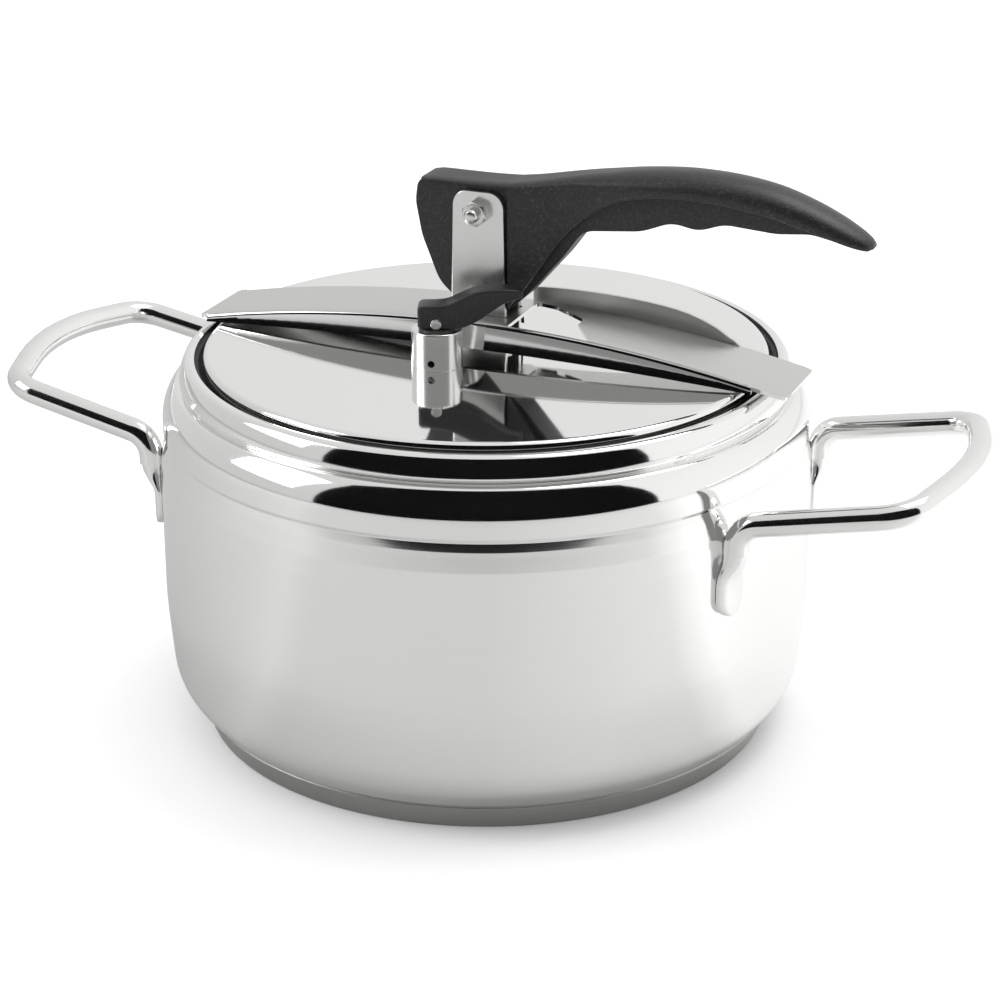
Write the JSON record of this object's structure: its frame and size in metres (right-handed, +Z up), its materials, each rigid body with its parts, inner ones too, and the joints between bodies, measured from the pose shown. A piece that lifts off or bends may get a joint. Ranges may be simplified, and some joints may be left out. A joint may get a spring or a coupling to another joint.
{
  "type": "stovetop pressure cooker",
  "caption": "Stovetop pressure cooker with a bellied steel pot, an inner lid held shut by a cam lever on a cross bar, a lever-lifted steam valve and two rod handles.",
  "frame": {"origin": "centre of the base, on the surface the pot stands on", "axes": "+Z up, +X along the cross bar towards the free end of the lever's grip, steam valve on the -Y side"},
  "size_m": [0.36, 0.232, 0.2093],
  "materials": {
    "polished_steel": "mirror polished",
    "satin_steel": "satin",
    "zinc_steel": "bright",
    "core_aluminium": "plain",
    "black_plastic": "fine texture",
    "dark_plastic": "plain",
    "seal_rubber": "soft matte"
  },
  "bodies": {
    "pot": {"pot_body": "polished_steel", "base_core": "core_aluminium", "base_cap": "satin_steel", "left_handle": "polished_steel", "right_handle": "polished_steel"},
    "bar": {"bridge_bar": "satin_steel"},
    "lid": {"lid_disc": "polished_steel", "lid_gasket": "seal_rubber", "fork_bracket": "satin_steel", "backing_plate": "satin_steel", "bracket_rivets": "satin_steel", "pivot_bolt": "zinc_steel", "pivot_nut": "zinc_steel", "valve_body": "satin_steel", "valve_washer": "seal_rubber", "valve_nut": "zinc_steel", "valve_strainer": "satin_steel", "valve_guide": "dark_plastic", "valve_spring": "zinc_steel", "safety_shell": "zinc_steel", "safety_stopper": "seal_rubber", "safety_nut": "zinc_steel"},
    "lever": {"lever": "black_plastic", "cam_shoe": "satin_steel", "pivot_bush": "zinc_steel"},
    "stem": {"valve_stem": "zinc_steel", "valve_seal": "seal_rubber", "valve_pin": "zinc_steel"},
    "thumb": {"valve_lever": "black_plastic"}
  },
  "joints": [
    {"name": "bar_turn", "type": "hinge", "parent": "pot", "child": "bar", "pos_m": [0, 0, 0.1385], "axis": [0, 0, 1], "continuous": true},
    {"name": "lid_drop", "type": "slide", "parent": "bar", "child": "lid", "axis": [0, 0, -1], "range_m": [0, 0.0012]},
    {"name": "lever_pivot", "type": "hinge", "parent": "lid", "child": "lever", "pos_m": [0, 0, 0.1875], "axis": [0, -1, 0], "range_deg": [0, 90]},
    {"name": "valve_lift", "type": "slide", "parent": "lid", "child": "stem", "axis": [0, 0, 1], "range_m": [0, 0.00469], "deforming": ["valve_spring"]},
    {"name": "valve_thumb", "type": "hinge", "parent": "stem", "child": "thumb", "pos_m": [-0.0072, -0.027, 0.1533], "axis": [0.342, -0.9397, 0], "range_deg": [0, 60]}
  ],
  "couplings": [
    {"joint": "lid_drop", "follows": "lever_pivot", "m_per_rad": 0.0007003},
    {"joint": "valve_thumb", "follows": "valve_lift", "rad_per_m": 223}
  ]
}
